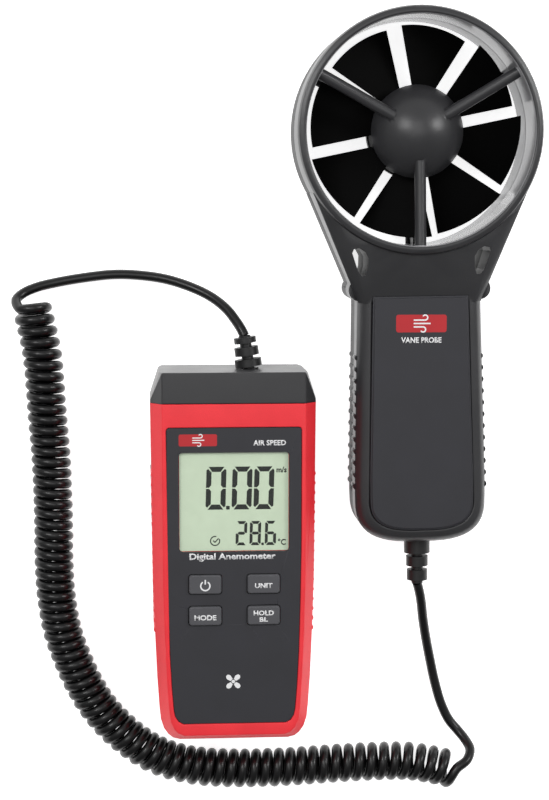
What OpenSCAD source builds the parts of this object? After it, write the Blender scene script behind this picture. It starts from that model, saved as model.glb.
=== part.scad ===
// Vane anemometer: a hand-held meter and a separate vane probe, joined by a
// curly cord. Both lie on their backs on the ground plane, display and duct up.
// X runs to the right, Y away from the user and Z up out of the front faces.

/* [Layout] */
// Gap between the meter's right side and the probe's handle
side_gap = 10.6; // [4:0.5:40]
// Length from the meter's lower end to the top of the ring
span_y = 216.2; // [190:1:240]
// Turn of the probe about its ring, in degrees
probe_turn = 0.8; // [0:0.1:3]

/* [Meter] */
// Length of the meter with its cap
meter_l = 110.2; // [104:0.5:116]
// Greatest width of the meter
meter_w = 48.8; // [46:0.1:60]
// Thickness of the meter
meter_t = 28; // [27:0.5:34]
// Wall of both meter shells
meter_wall = 2.2; // [1.6:0.1:2.4]
// Length of the dark cap at the cord end
cap_l = 9.2; // [8:0.1:12]
// Width of the display window
window_w = 32.2; // [26:0.1:34]
// Height of the display window
window_h = 29.2; // [24:0.1:30]
// Width of a button
button_w = 9.6; // [8:0.1:12]
// Height of a button
button_h = 5.7; // [4.5:0.1:6.4]
// Distance between the two columns of buttons
button_dx = 17.2; // [14:0.1:18]
// Distance between the two rows of buttons
button_dy = 9.4; // [8.8:0.1:11]
// Gap all round a button
button_gap = 0.2; // [0.1:0.05:0.4]
// How far a button goes down
button_travel = 0.8; // [0.4:0.1:0.9]
// Diameter of one battery cell
cell_d = 10.5; // [9:0.1:10.6]
// Length of one battery cell
cell_l = 44.5; // [40:0.1:45]
// Gap round the battery cover's tongues
cover_gap = 0.15; // [0.1:0.05:0.3]
// How far the battery cover slides before its tongues come free
cover_travel = 6.5; // [5:0.5:7]

/* [Probe] */
// Outside diameter of the ring
ring_od = 72; // [68:0.5:90]
// Bore of the duct through the ring
duct_d = 66.8; // [60:0.1:84]
// Depth of the ring
ring_t = 28; // [26:0.5:34]
// Diameter of the domed hub
hub_d = 27.4; // [24:0.1:32]
// Distance from the ring's centre to the handle's lower end
handle_end = 122; // [112:0.5:130]
// Greatest width of the handle
handle_w = 39.2; // [38:0.2:50]
// Wall round the inside of the handle
handle_wall = 2.4; // [1.8:0.1:2.8]
// Thickness of the handle
handle_t = 24; // [22:0.5:28]
// Number of blades
blade_count = 8; // [5:1:10]
// Width of the slot between neighbouring blades
blade_slot = 3.3; // [2:0.1:5]
// Pitch of the blades, in degrees
blade_pitch = 25; // [15:1:28]
// Thickness of a blade
blade_t = 0.8; // [0.5:0.1:1.2]
// Gap between the blade tips and the duct
tip_gap = 2.2; // [0.3:0.1:3]
// Diameter of the vane's shaft
shaft_d = 1.5; // [1:0.1:2.5]
// Running clearance of the shaft, on the radius
shaft_gap = 0.04; // [0.02:0.01:0.1]

/* [Cord] */
// Diameter of the cord
cord_d = 3; // [2.6:0.1:3.4]
// Outside diameter of the curls
coil_od = 12; // [10:0.5:14]
// Gap between the coil and the lead that lifts off with the probe
lift_gap = 0.4; // [0.3:0.1:1]

/* [Hidden] */
$fn = 64;

// Colours
c_red = [0.85, 0.17, 0.19];
c_dark = [0.23, 0.23, 0.24];
c_black = [0.07, 0.07, 0.08];
c_board = [0.05, 0.35, 0.16];
c_metal = [0.75, 0.75, 0.76];
c_brass = [0.85, 0.68, 0.35];

// Places of the meter and the probe, side by side
span_x = meter_w + side_gap + handle_w / 2 + ring_od / 2;
meter_x = (meter_w - span_x) / 2;
meter_y = -span_y / 2;
ring_x = (span_x - ring_od) / 2;
ring_y = (span_y - ring_od) / 2;

// Meter, from its lower end at y = 0
seam_y = meter_l - cap_l;
split_z = meter_t / 2;
half_w = meter_w / 2;
bevel_z = 4.5;
panel_top = seam_y - 7;
panel_z = meter_t - 0.2;
panel_t = 1.3;
floor_z = meter_t - 2.6;
window_y = panel_top - 22;
button_y = panel_top - 51;
board_z = meter_t - 9.6;
board_t = 1.6;
board_w = meter_w - 16.4;
flange_top = floor_z - 0.1;
flange_t = 0.7;
switch_h = 3.5;
plunger_d = 3.3;
screw_x = half_w - 5;
screw_ys = [14, panel_top - 0.3];
screw_head_z = 3.6;
cover_l = 56;
cover_w = 33;
tongue_z = 1;
tongue_l = 6;
tongue_ys = [10, 27, 44];
cover_t = 2;
cells_y = 9.4;
cell_pitch = cell_d + 0.3;
cells_z = cover_t + 0.6 + cell_d / 2;
boot_x = 5.2;
boot_z = 14;
boot_tilt = 8;

// Probe, from the ring's centre at the origin
ring_r = ring_od / 2;
duct_r = duct_d / 2;
hub_r = hub_d / 2;
probe_split = 13;
rotor_z0 = 7.4;
rotor_z1 = 18;
rotor_mid = (rotor_z0 + rotor_z1) / 2;
dome_z = rotor_z1 + 0.3;
dome_rise = ring_t - dome_z;
dome_r = (hub_r * hub_r + dome_rise * dome_rise) / (2 * dome_rise);
spoke_angles = [-90, 30, 150];
spoke_d = 3.4;
spoke_z = ring_t - 4.2;
rear_spoke_z = 3.6;
sensor_z = spoke_z - 3;
neck_y = -ring_r - 11;
handle_face = handle_t - 1;
boot_len = 14;
blade_step = 360 / blade_count;
blade_turn = 11;
boss_r = 3;
probe_head_z = 1.4;
probe_screw_at = [[-13.4, -58], [13.4, -58], [-13.4, -108], [13.4, -108]];

// Cord: the ends are worked out, the points between them lie where the cord does
cord_r = cord_d / 2;
coil_z = coil_od / 2;
meter_boot_end = 9.9;
meter_exit = [
    meter_x + boot_x - meter_boot_end * sin(boot_tilt),
    meter_y + meter_l + meter_boot_end * cos(boot_tilt),
    boot_z
];
probe_exit_y = -handle_end - boot_len;
probe_exit = [
    ring_x - probe_exit_y * sin(probe_turn),
    ring_y + probe_exit_y * cos(probe_turn),
    handle_t / 2
];
coil_route = [
    [-92.6, 20.4], [-91, 13.6], [-89.6, 6], [-88.8, -4], [-88.2, -14],
    [-87.4, -24], [-87, -34], [-86.8, -46], [-86.8, -58], [-86.2, -68],
    [-84.6, -78], [-82, -86], [-78.6, -94], [-73.6, -102.6], [-66.4, -110.6],
    [-57, -117.4], [-46.6, -121], [-34, -122.4], [-16, -122.4], [0, -121.6],
    [14, -121.2], [22, -121.4], [29, -122.6], [35.4, -124.2]
];
meter_lead_route = [
    [-30.1, 13.6, 13.5], [-31.6, 16, 12], [-34.2, 19.4, 9.8],
    [-38.4, 22.8, 7], [-44, 25.6, 4.6], [-52, 28.2, 2.6], [-60, 29.4, 1.5],
    [-68, 29.7, 1.5], [-78, 28.6, 1.5], [-86, 27.2, 1.7], [-91, 26.6, 3],
    [-93.7, 25.4, 4.8]
];
probe_lead_route = [
    [24.2, -66.6, 11], [25, -70, 9.6], [26, -76, 7], [27.4, -83, 4.4],
    [29, -90, 2.4], [30.6, -97, 1.5], [32.6, -104, 1.5], [35.2, -110.4, 1.5],
    [38.6, -115.6, 1.5], [41.8, -119.4, 2], [42.8, -122.8, 3.6],
    [41, -125.6, 5.2]
];
coil_first = coil_route[0];
coil_last = coil_route[len(coil_route) - 1];
start_dir = unit3(flat3(coil_route[1] - coil_first));
end_dir = unit3(flat3(coil_last - coil_route[len(coil_route) - 2]));
lead_join_meter = [coil_first[0], coil_first[1], coil_z];
lead_join_probe = [coil_last[0], coil_last[1], coil_z] + end_dir * lift_gap;

// Plain helpers
function flat3(p) = [p[0], p[1], 0];
function unit3(v) = v / norm(v);
function mirrored(half) = concat(
    half, [for (i = [len(half) - 1:-1:0]) [-half[i][0], half[i][1]]]);

module on_meter() {
    translate([meter_x, meter_y, 0]) children();
}

module on_probe() {
    translate([ring_x, ring_y, 0]) rotate([0, 0, probe_turn]) children();
}

module both_sides() {
    children();
    mirror([1, 0, 0]) children();
}

module block(x0, x1, y0, y1, z0, z1) {
    translate([x0, y0, z0]) cube([x1 - x0, y1 - y0, z1 - z0]);
}

// A plate with rounded corners, centred on x and y
module plate(w, h, r, z0, z1) {
    translate([0, 0, z0]) linear_extrude(z1 - z0) rounded(w, h, r);
}

module rounded(w, h, r) {
    square([w - 2 * r, h], center = true);
    square([w, h - 2 * r], center = true);
    for (x = [-1, 1], y = [-1, 1])
        translate([x * (w / 2 - r), y * (h / 2 - r)]) circle(r);
}

// A screw seen from its head, which has a hexagon socket
module screw(head_z, length) {
    translate([0, 0, head_z]) difference() {
        cylinder(h = 1.6, r = 2);
        translate([0, 0, -1]) cylinder(h = 1.9, r = 0.9, $fn = 6);
    }
    translate([0, 0, head_z + 1.2]) cylinder(h = length - 1.2, r = 1.1, $fn = 32);
}

// Cord tube: rings square to the route, corners mitred, ends flat
function route_dir(p, i) =
    i == 0 ? unit3(p[1] - p[0]) :
    i == len(p) - 1 ? unit3(p[i] - p[i - 1]) :
    unit3(unit3(p[i] - p[i - 1]) + unit3(p[i + 1] - p[i]));

module tube(route, r, sides) {
    last = len(route) - 1;
    rings = [
        for (i = [0:last])
            let (d = route_dir(route, i))
            let (u = unit3(cross(d, [0, 0, 1])))
            let (v = cross(u, d))
            for (k = [0:sides - 1])
                let (a = 360 * (k + 0.5) / sides)
                route[i] + r * cos(a) * u + r * sin(a) * v
    ];
    walls = [
        for (i = [0:last - 1], k = [0:sides - 1])
            let (n = (k + 1) % sides)
            [i * sides + k, i * sides + n, (i + 1) * sides + n, (i + 1) * sides + k]
    ];
    near_end = [for (k = [sides - 1:-1:0]) k];
    far_end = [for (k = [0:sides - 1]) last * sides + k];
    polyhedron(rings, concat([near_end], walls, [far_end]));
}

// ---- Meter ----

// Outlines of the meter: full width at mid depth and at the flat faces
function meter_mid() = mirrored([
    [half_w - 8.2, 0], [half_w - 6.2, 0.5], [half_w - 4.8, 1.6], [half_w - 3.5, 3.4],
    [half_w - 2.6, 6.2], [half_w - 2.2, 10], [half_w - 1.6, 19], [half_w - 1, 33],
    [half_w - 0.5, 48], [half_w, seam_y + 1], [half_w - 2.6, meter_l]]);
function meter_face() = mirrored([
    [half_w - 9.6, 2.2], [half_w - 7.9, 2.9], [half_w - 6.6, 4.2], [half_w - 5.6, 6.4],
    [half_w - 5.1, 10], [half_w - 4.5, 19], [half_w - 3.9, 33], [half_w - 3.5, 48],
    [half_w - 3.4, meter_l]]);

// The whole outside of the meter: a slab with bevelled long edges
module meter_block() {
    hull() {
        translate([0, 0, bevel_z]) linear_extrude(meter_t - 2 * bevel_z) polygon(meter_mid());
        linear_extrude(meter_t) polygon(meter_face());
    }
}

// The hollow inside the shells, wide at mid depth and narrow at the faces
module meter_hollow() {
    w = meter_wall;
    linear_part = mirrored([
        [half_w - 8.2 - w / 2, w], [half_w - 4.8 - w, w + 1.6], [half_w - 2.8 - w, 7],
        [half_w - 1.8 - w, 19], [half_w - 1.2 - w, 33], [half_w - 0.7 - w, 48],
        [half_w - 0.2 - w, seam_y + 1]]);
    narrow_part = mirrored([
        [half_w - 12, 4.5], [half_w - 8.4, 7.6], [half_w - 6.9, 18.5],
        [half_w - 6, 33], [half_w - 5.2, 48], [half_w - 5.2, seam_y + 1]]);
    translate([0, 0, bevel_z + 0.4]) linear_extrude(meter_t - 2 * bevel_z - 0.8) polygon(linear_part);
    translate([0, 0, meter_wall]) linear_extrude(floor_z - meter_wall) polygon(narrow_part);
}

module panel_outline(gap) {
    polygon(mirrored([
        [half_w - 9.2 + gap, 5.8 - gap], [half_w - 7.8 + gap, 6.6 - gap / 2], [half_w - 6.9 + gap, 8],
        [half_w - 6.5 + gap, 10], [half_w - 6 + gap, 16], [half_w - 5.4 + gap, 27],
        [half_w - 5 + gap, 42], [half_w - 4.7 + gap, 60], [half_w - 4.6 + gap, panel_top - 0.8],
        [half_w - 4.9 + gap, panel_top - 0.2 + gap / 2], [half_w - 5.4 + gap, panel_top + gap]]));
}

module at_buttons() {
    for (x = [-0.5, 0.5], y = [-0.5, 0.5])
        translate([x * button_dx, button_y + y * button_dy, 0]) children();
}

module at_case_screws() {
    for (y = screw_ys)
        both_sides() translate([screw_x, y, 0]) children();
}

// Ribs down both sides, where the fingers hold
module side_ribs(z0, z1) {
    for (i = [0:16])
        both_sides() translate([half_w - 1.54 + i * 0.04, 33.4 + i * 2.9, z0])
            cylinder(h = z1 - z0, r = 0.9, $fn = 24);
}

module meter_front_shell() {
    color(c_red) on_meter() difference() {
        union() {
            intersection() {
                meter_block();
                union() {
                    difference() {
                        block(-half_w, half_w, 0, seam_y, split_z, meter_t);
                        meter_hollow();
                    }
                    at_case_screws() translate([0, 0, split_z])
                        cylinder(h = floor_z - split_z + 0.5, r = boss_r);
                    at_board_screws() translate([0, 0, board_z + board_t])
                        cylinder(h = floor_z - board_z - board_t + 0.5, r = 2.4);
                }
            }
            side_ribs(split_z, meter_t - bevel_z);
        }
        at_case_screws() translate([0, 0, split_z - 1]) cylinder(h = 9, r = 1.15);
        at_board_screws() translate([0, 0, board_z]) cylinder(h = 5.4, r = 1.05);
        translate([0, 0, panel_z - panel_t]) linear_extrude(3) panel_outline(0.1);
        translate([0, window_y, 0]) plate(window_w - 2, window_h - 2, 1, floor_z - 1, meter_t);
        at_buttons()
            plate(button_w + 2 * button_gap, button_h + 2 * button_gap, 1, floor_z - 1, meter_t);
    }
}

module meter_rear_shell() {
    bay_w = 3 * cell_pitch + 0.8;
    color(c_black) on_meter() difference() {
        union() {
            intersection() {
                meter_block();
                union() {
                    difference() {
                        block(-half_w, half_w, 0, seam_y, 0, split_z);
                        meter_hollow();
                    }
                    at_case_screws() cylinder(h = split_z - 0.1, r = boss_r);
                }
            }
            side_ribs(bevel_z, split_z);
            both_sides() block(bay_w / 2, bay_w / 2 + 1, 5.2, cover_l, meter_wall - 0.2, split_z - 1);
            block(-bay_w / 2, bay_w / 2, cover_l - 0.8, cover_l + 0.4, meter_wall - 0.2, split_z - 1);
            block(-bay_w / 2, bay_w / 2, 4.2, 5.4, meter_wall - 0.2, split_z - 1);
        }
        at_case_screws() translate([0, 0, -1]) cylinder(h = screw_head_z + 2.6, r = 2.2);
        at_case_screws() translate([0, 0, -1]) cylinder(h = split_z + 2, r = 1.3);
        cover_cut();
    }
}

// Opening for the battery cover, with a groove and a way out for each tongue
module cover_cut() {
    half = cover_w / 2 + cover_gap;
    block(-half, half, -1, cover_l + cover_gap, -1, meter_wall + 0.1);
    for (y = tongue_ys) {
        block(-half - 1, half + 1, y - cover_travel - cover_gap, y + tongue_l + cover_gap,
            tongue_z - cover_gap, meter_wall + 0.1);
        block(-half - 1, half + 1, y - cover_travel - cover_gap, y - 0.3, -1, tongue_z);
    }
}

module battery_cover() {
    color(c_black) on_meter() difference() {
        union() {
            intersection() {
                meter_block();
                block(-cover_w / 2, cover_w / 2, -1, cover_l, 0, cover_t);
            }
            for (y = tongue_ys)
                block(-cover_w / 2 - 1, cover_w / 2 + 1, y, y + tongue_l, tongue_z, cover_t);
        }
        for (i = [0:4]) block(-7, 7, 40 + i * 2.4, 41.2 + i * 2.4, -1, 0.5);
    }
}

// Cap over the cord end, with a lip that the two shells close on
module meter_top_cap() {
    lip = half_w - meter_wall - 0.4;
    color(c_dark) on_meter() difference() {
        union() {
            intersection() {
                meter_block();
                block(-half_w, half_w, seam_y, meter_l, 0, meter_t);
            }
            difference() {
                block(-lip, lip, seam_y - 2.4, seam_y + 1, 5.2, meter_t - 5.2);
                block(-lip + 1.2, lip - 1.2, seam_y - 3, seam_y + 1, 6.4, meter_t - 6.4);
            }
        }
        block(-half_w + 5.2, half_w - 5.2, seam_y - 3, meter_l - 2.4, 2.6, meter_t - 2.6);
        block(-half_w + 3.6, half_w - 3.6, seam_y - 0.5, meter_l - 2.4, 5.4, meter_t - 5.4);
        at_meter_boot() translate([0, 0, -4]) cylinder(h = 5, r = 2.9);
    }
}

module front_panel() {
    color(c_dark) on_meter() difference() {
        translate([0, 0, panel_z - panel_t]) linear_extrude(panel_t) panel_outline(0);
        translate([0, window_y, 0]) plate(window_w + 0.2, window_h + 0.2, 1.1, 0, meter_t);
        at_buttons() plate(button_w + 2 * button_gap, button_h + 2 * button_gap, 1, 0, meter_t);
    }
}

module display_window() {
    color([0.75, 0.82, 0.78, 0.5]) on_meter() translate([0, window_y, 0])
        plate(window_w, window_h, 1, panel_z - panel_t, panel_z);
}

module lcd_glass() {
    color([0.72, 0.78, 0.66]) on_meter() translate([0, window_y, 0])
        plate(window_w + 1.4, window_h + 2, 0.3, floor_z - 1.3, floor_z - 0.1);
}

module lcd_backlight() {
    color([0.95, 0.96, 0.9]) on_meter() translate([0, window_y, 0])
        plate(window_w - 2, window_h - 4, 0.5, floor_z - 3.1, floor_z - 1.3);
}

// Frame that holds the glass and its backlight over the board
module lcd_frame() {
    w = window_w + 1.6;
    h = window_h + 2.2;
    color([0.9, 0.9, 0.88]) on_meter() translate([0, window_y, 0]) difference() {
        plate(w + 1.4, h + 1.4, 0.5, board_z + board_t, floor_z - 0.4);
        plate(w, h, 0.3, floor_z - 1.3, floor_z);
        plate(w - 3, h - 3.2, 0.3, floor_z - 3.1, floor_z);
        plate(w - 5, h - 8, 0.3, 0, floor_z);
        block(-w / 2 + 2, w / 2 - 2, h / 2 - 3, h / 2 - 0.8, 0, floor_z);
    }
}

module zebra_strip() {
    w = window_w + 1.6;
    h = window_h + 2.2;
    color([0.5, 0.35, 0.4]) on_meter() translate([0, window_y, 0])
        block(-w / 2 + 2.2, w / 2 - 2.2, h / 2 - 2.8, h / 2 - 1.7, board_z + board_t, floor_z - 1.3);
}

module at_board_screws() {
    for (y = [button_y - 12, panel_top - 1.6])
        both_sides() translate([board_w / 2 - 3, y, 0]) children();
}

module main_board() {
    color(c_board) on_meter() difference() {
        union() {
            block(-board_w / 2, board_w / 2, 12, panel_top + 1, board_z, board_z + board_t);
            block(-12, 12, panel_top, panel_top + 4, board_z, board_z + board_t);
        }
        at_board_screws() translate([0, 0, board_z - 1]) cylinder(h = 4, r = 1.1);
    }
}

module board_screws() {
    color(c_metal) on_meter() at_board_screws() {
        translate([0, 0, board_z - 0.9]) cylinder(h = 0.9, r = 1.9);
        translate([0, 0, board_z - 0.9]) cylinder(h = 5, r = 1, $fn = 24);
    }
}

module board_chips() {
    color(c_black) on_meter() {
        block(-7, 7, window_y - 7, window_y + 7, board_z - 1.6, board_z);
        block(-14, -9, window_y - 3, window_y + 2, board_z - 1.2, board_z);
        block(9, 14, window_y + 4, window_y + 8, board_z - 1.2, board_z);
        block(10, 13, window_y - 9, window_y - 2, board_z - 2.4, board_z);
    }
}

module buzzer() {
    color(c_black) on_meter() translate([-8, 22, board_z + board_t]) difference() {
        cylinder(h = 3.6, r = 5.5);
        translate([0, 0, 2]) cylinder(h = 3, r = 1);
    }
}

module key_switches() {
    color(c_metal) on_meter() at_buttons() difference() {
        plate(6, 5.8, 0.5, board_z + board_t, board_z + board_t + switch_h);
        translate([0, 0, board_z + board_t + 0.7]) cylinder(h = switch_h, r = plunger_d / 2 + 0.1);
    }
}

module button(i, j) {
    top = panel_z + 0.9;
    color([0.36, 0.36, 0.38]) on_meter()
        translate([i * button_dx / 2, button_y + j * button_dy / 2, 0]) {
            plate(button_w + 1.8, button_h + 1.8, 1, flange_top - flange_t, flange_top);
            plate(button_w, button_h, 0.8, flange_top - 0.2, top - 0.4);
            plate(button_w - 0.6, button_h - 0.6, 0.6, top - 0.5, top);
        }
}

module plunger(i, j) {
    foot = board_z + board_t + 1.6;
    color(c_black) on_meter()
        translate([i * button_dx / 2, button_y + j * button_dy / 2, foot])
            cylinder(h = flange_top - flange_t - foot, r = plunger_d / 2);
}

module at_cells() {
    for (i = [-1:1])
        translate([i * cell_pitch, cells_y, cells_z]) rotate([-90, 0, 0]) children();
}

module battery_cells() {
    color([0.2, 0.45, 0.7]) on_meter() at_cells() {
        cylinder(h = cell_l - 1, r = cell_d / 2);
        cylinder(h = cell_l, r = 1.9, $fn = 32);
    }
}

module battery_springs() {
    color(c_metal) on_meter() at_cells() for (i = [0:3])
        translate([0, 0, -0.85 * (i + 1)]) rotate_extrude()
            translate([2.1 + i * 0.4, 0.42]) circle(0.42, $fn = 16);
}

module battery_plates() {
    color(c_metal) on_meter() {
        for (i = [-1:1])
            block(i * cell_pitch - 4, i * cell_pitch + 4, 5.4, cells_y - 3.4, bevel_z + 0.6, split_z - 2);
        for (i = [-1:1])
            block(i * cell_pitch - 3.5, i * cell_pitch + 3.5, cells_y + cell_l, cover_l - 0.8,
                bevel_z + 0.6, split_z - 2);
    }
}

module case_screws() {
    color(c_metal) on_meter() at_case_screws() screw(screw_head_z, 17);
}

// Frame of the boot: its axis along +Z, z = 0 at the cap's end face
module at_meter_boot() {
    translate([boot_x, meter_l, boot_z]) rotate([0, 0, boot_tilt]) rotate([-90, 0, 0]) children();
}

// A strain relief: collars on a core, a waist in the wall and a flange inside
module strain_relief(collars, core_r, total, waist_r, wall) {
    translate([0, 0, 0]) cylinder(h = total, r = core_r);
    for (c = collars) translate([0, 0, c[0]]) cylinder(h = c[1], r = c[2]);
    translate([0, 0, -wall]) cylinder(h = wall + 0.01, r = waist_r);
    translate([0, 0, -wall - 1.6]) cylinder(h = 1.6, r = waist_r + 1.4);
}

module meter_boot() {
    color(c_black) on_meter() at_meter_boot()
        strain_relief([[0.7, 2.2, 4], [4, 2.5, 3.6], [7.7, 1.7, 3.3]],
            cord_r + 0.25, meter_boot_end, 2.85, 3);
}

// Conductors from the boot down to the board
module meter_wires() {
    tip = [boot_x + 0.6, meter_l - 4.5, boot_z];
    for (i = [0:2]) {
        pad = [boot_x - 4 + i * 2.5, panel_top + 3, board_z - 0.4];
        color([[0.8, 0.1, 0.1], [0.9, 0.9, 0.9], [0.1, 0.1, 0.1]][i]) on_meter()
            tube([tip + [(i - 1) * 1.5, 0, 0], (tip + pad) / 2 + [(i - 1) * 1.2, 1, 0.5], pad], 0.5, 8);
    }
}

// ---- Cord ----

module cord_lead_meter() {
    away = start_dir * 1.6;
    color(c_black)
        tube(concat([meter_exit], meter_lead_route, [lead_join_meter - away, lead_join_meter]), cord_r, 8);
}

module cord_lead_probe() {
    away = end_dir * 2.2;
    color(c_black)
        tube(concat([probe_exit], probe_lead_route, [lead_join_probe + away, lead_join_probe]), cord_r, 8);
}

module cord_coil() {
    color(c_black) tube([for (p = coil_route) [p[0], p[1], coil_z]], coil_z, 12);
}

// ---- Probe ----

// Half section of the ring wall, with softened edges
module ring_section(z0, z1, soft0, soft1) {
    polygon([
        [duct_r + 0.3, z0], [ring_r - soft0, z0], [ring_r - soft0 * 0.3, z0 + soft0 * 0.3],
        [ring_r, z0 + soft0], [ring_r, z1 - soft1], [ring_r - soft1 * 0.3, z1 - soft1 * 0.3],
        [ring_r - soft1, z1], [duct_r + 0.5, z1], [duct_r + 0.1, z1 - 0.4], [duct_r, z1 - 0.9],
        [duct_r, z0 + 0.4]]);
}

// Handle outline, a given distance inside the full one, widening to a round end
module handle_2d(inset) {
    half = handle_w / 2 - inset;
    end_l = 14 - inset;
    polygon(mirrored(concat(
        [[half - 1.3, neck_y + 3 - inset], [half - 1, -63], [half - 0.5, -84], [half, -102]],
        [for (t = [0:7:84])
            [half * pow(cos(t), 0.68), -handle_end + inset + end_l * (1 - pow(sin(t), 0.68))]])));
}

// Handle with rounded long edges
module handle_block() {
    hull() {
        for (s = [[0, 3.4], [0.5, 2], [1.5, 0.8], [3.6, 0]])
            translate([0, 0, s[0]]) linear_extrude(handle_face - 2 * s[0]) handle_2d(s[1]);
    }
}

// Shoulders that carry the ring on the handle
module shoulder_block() {
    top_w = ring_r - 4.4;
    hull() {
        translate([0, 0, 2]) linear_extrude(ring_t - 4.5)
            polygon([[-top_w, -17.6], [top_w, -17.6], [top_w - 2.4, -22.9], [-top_w + 2.4, -22.9]]);
        translate([0, 0, 0.5]) linear_extrude(ring_t - 2)
            polygon([[-25, -24], [25, -24], [21, -33], [-21, -33]]);
        translate([0, 0, 1.6]) linear_extrude(handle_face - 3.2)
            polygon([[-19.9, -42], [19.9, -42], [18.2, neck_y - 3], [-18.2, neck_y - 3]]);
        translate([0, 0, 0]) linear_extrude(handle_face)
            polygon([[-17, -40], [17, -40], [16.4, neck_y - 3], [-16.4, neck_y - 3]]);
    }
}

// Outside of the whole probe body, both halves
module probe_block() {
    handle_block();
    shoulder_block();
    both_sides() translate([17.9, neck_y + 0.7, 1.6]) cylinder(h = handle_face - 3.2, r = 3.2);
    for (i = [0:11])
        both_sides() translate([handle_w / 2 - 1.45 + i * 0.085, -66.4 - i * 3.5, 3.4])
            cylinder(h = handle_face - 6.8, r = 1, $fn = 24);
}

// One of the two openings through the shoulders
module shoulder_window() {
    translate([0, 0, -1]) linear_extrude(ring_t + 2)
        polygon([[18.4, -33.7], [19.9, -34], [20.4, -35.2], [18.6, -40.6], [17.4, -42],
            [16.4, -41.8], [15.8, -39.6], [15.7, -36.6], [16.6, -34.9]]);
}

module probe_hollow(z0, z1) {
    intersection() {
        translate([0, 0, z0]) linear_extrude(z1 - z0) handle_2d(handle_wall);
        block(-handle_w, handle_w, -handle_end, neck_y - 3.5, z0, z1);
    }
    neck_channel(z0 + 1.5, z1);
}

// Way for the wires from the ring's wall into the handle
module neck_channel(z0, z1) {
    block(-3.4, 3.4, neck_y - 4, -duct_r - 1.2, z0, z1);
}

module at_probe_screws() {
    for (p = probe_screw_at) translate([p[0], p[1], 0]) children();
}

// Frame of the probe's boot: its axis along +Z, z = 0 at the handle's end face
module at_probe_boot() {
    translate([0, -handle_end, handle_t / 2]) rotate([90, 0, 0]) children();
}

module boot_hole() {
    at_probe_boot() translate([0, 0, -6]) cylinder(h = 8, r = 2.95);
}

module duct_bore() {
    translate([0, 0, -1]) cylinder(h = ring_t + 2, r = duct_r, $fn = 128);
}

module panel_plate(gap, z0, z1) {
    intersection() {
        translate([0, 0, z0]) linear_extrude(z1 - z0) handle_2d(4.2 - gap);
        block(-handle_w, handle_w, -handle_end, neck_y + 0.4 + gap, z0, z1);
    }
}

module spokes(z, r_in) {
    for (a = spoke_angles)
        rotate([0, 0, a]) translate([r_in, 0, z]) rotate([0, 90, 0])
            cylinder(h = duct_r + 0.8 - r_in, r = spoke_d / 2, $fn = 32);
}

// Stationary dome over the rotor's hub
module dome() {
    intersection() {
        difference() {
            translate([0, 0, ring_t - dome_r]) sphere(dome_r, $fn = 96);
            translate([0, 0, ring_t - dome_r]) sphere(dome_r - 1.4, $fn = 96);
        }
        translate([0, 0, dome_z]) cylinder(h = ring_t, r = hub_r + 1);
    }
}

module probe_front_shell() {
    color(c_dark) on_probe() difference() {
        union() {
            rotate_extrude($fn = 128) ring_section(probe_split, ring_t, 0.4, 1.4);
            intersection() {
                difference() {
                    probe_block();
                    probe_hollow(handle_wall, handle_face - handle_wall);
                    duct_bore();
                    both_sides() shoulder_window();
                }
                block(-ring_od, ring_od, -2 * handle_end, 0, probe_split, ring_t);
            }
            dome();
            difference() {
                spokes(spoke_z, 8.6);
                translate([0, 0, ring_t - dome_r]) sphere(dome_r - 1.4, $fn = 96);
            }
            translate([0, 0, dome_z + 1.3]) cylinder(h = ring_t - 1.2 - dome_z - 1.3, r = 4);
            at_probe_screws() translate([0, 0, probe_split])
                cylinder(h = handle_face - handle_wall - probe_split + 0.2, r = boss_r);
        }
        translate([0, 0, dome_z]) cylinder(h = 4, r = 2.55);
        translate([0, 0, dome_z]) cylinder(h = 7.2, r = shaft_d / 2 + 0.3, $fn = 32);
        at_probe_screws() translate([0, 0, probe_split - 1]) cylinder(h = 7, r = 1.15);
        panel_plate(0.1, handle_face - 0.8, handle_face + 2);
        boot_hole();
        neck_channel(handle_wall + 1.5, handle_face - handle_wall);
        translate([0, -duct_r + 1, sensor_z]) rotate([90, 0, 0]) cylinder(h = 5.4, r = 1.1, $fn = 32);
    }
}

module probe_rear_shell() {
    color(c_black) on_probe() difference() {
        union() {
            rotate_extrude($fn = 128) mirror([0, 1]) translate([0, -probe_split])
                ring_section(0, probe_split, 0.4, 1.4);
            intersection() {
                difference() {
                    probe_block();
                    probe_hollow(handle_wall, handle_face - handle_wall);
                    duct_bore();
                    both_sides() shoulder_window();
                }
                block(-ring_od, ring_od, -2 * handle_end, 0, 0, probe_split);
            }
            rear_hub();
            spokes(rear_spoke_z, hub_r - 0.8);
            at_probe_screws() cylinder(h = probe_split - 0.1, r = boss_r);
        }
        translate([0, 0, 2.4]) cylinder(h = 2.2, r = 2.55);
        translate([0, 0, 1.6]) cylinder(h = 6, r = shaft_d / 2 + 0.3, $fn = 32);
        at_probe_screws() translate([0, 0, -1]) cylinder(h = probe_head_z + 2.6, r = 2.2);
        at_probe_screws() translate([0, 0, -1]) cylinder(h = probe_split + 2, r = 1.3);
        boot_hole();
        neck_channel(handle_wall + 1.5, handle_face - handle_wall);
        wire_channel(0.9);
    }
}

// Cup behind the rotor, with the rear bearing's seat
module rear_hub() {
    rotate_extrude($fn = 96) polygon([
        [0, 1], [hub_r - 3, 1], [hub_r - 0.8, 2.4], [hub_r, 4.4], [hub_r, rotor_z0 - 0.3],
        [hub_r - 1.3, rotor_z0 - 0.3], [hub_r - 1.3, 4.6], [hub_r - 3.4, 4.6], [hub_r - 3.8, 2.6],
        [4, 2.6], [4, 4.6], [0, 4.6]]);
}

// Groove for the pickup's wires along the lower rear spoke
module wire_channel(half) {
    block(-half, half, -duct_r - 8, -hub_r + 4, rear_spoke_z + 0.6, rear_spoke_z + 3);
}

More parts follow.
